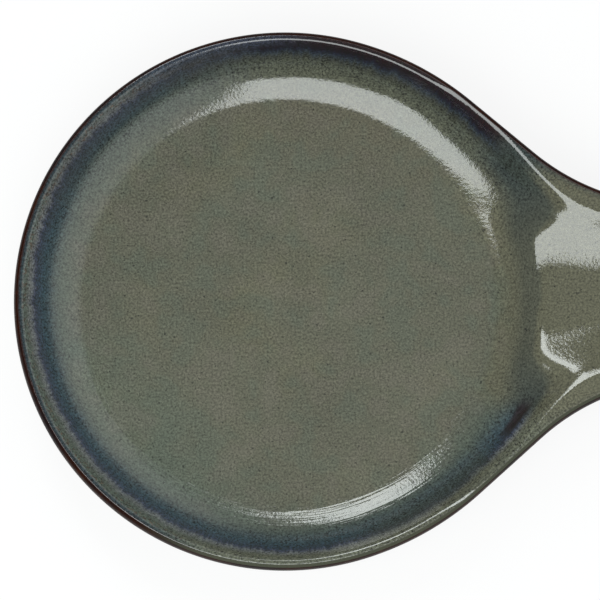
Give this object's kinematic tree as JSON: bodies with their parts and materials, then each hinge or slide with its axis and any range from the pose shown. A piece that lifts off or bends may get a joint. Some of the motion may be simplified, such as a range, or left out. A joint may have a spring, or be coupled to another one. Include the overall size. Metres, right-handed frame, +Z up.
{
  "type": "spoon rest",
  "caption": "Round shallow glazed stoneware spoon rest with a flat floor, a coved wall and a wide channelled handle on one side, on a foot ring.",
  "frame": {"origin": "centre of the overall length and width, on the surface that the foot ring stands on", "axes": "+X along the handle away from the dish, +Z up out of the dish"},
  "size_m": [0.225, 0.125, 0.02],
  "materials": {
    "bare_stoneware": "unglazed fired stoneware, slightly rough",
    "reactive_glaze": "glossy reactive glaze, grey-green with dark specks, blue where it runs down the wall",
    "base_glaze": "glossy dark iron-brown glaze"
  },
  "bodies": {
    "root": {"stoneware_body": "bare_stoneware", "reactive_glaze": "reactive_glaze", "base_glaze": "base_glaze"}
  },
  "joints": []
}
